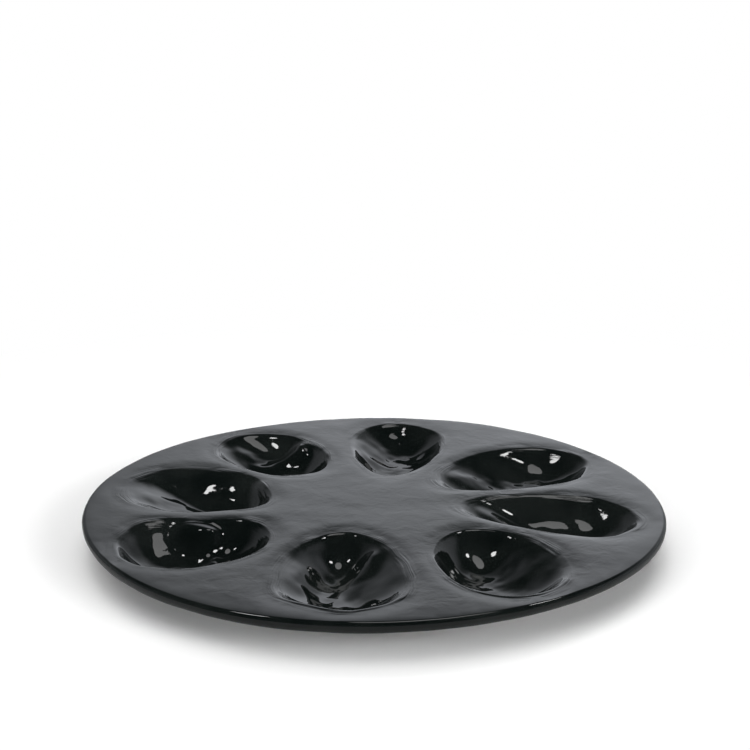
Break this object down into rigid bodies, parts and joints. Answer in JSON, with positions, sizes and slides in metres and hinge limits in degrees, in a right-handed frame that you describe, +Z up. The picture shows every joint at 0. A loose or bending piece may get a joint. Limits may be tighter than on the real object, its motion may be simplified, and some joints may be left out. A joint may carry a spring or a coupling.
{
  "type": "oyster tray",
  "caption": "Round stoneware serving tray with a ring of oyster-shaped wells around a flat middle, a rounded rim, bulges with flat feet underneath, and a glossy black glaze.",
  "frame": {"origin": "on the table, under the middle of the tray", "axes": "+Z up out of the wells, +Y away from the viewer of the picture, +X to the viewer's right"},
  "size_m": [0.3548, 0.356, 0.0245],
  "materials": {
    "bare_stoneware": "matt fired clay with fine dark specks",
    "black_glaze": "deep gloss black"
  },
  "bodies": {
    "root": {"stoneware_body": "bare_stoneware", "glaze_coat": "black_glaze"}
  },
  "joints": []
}
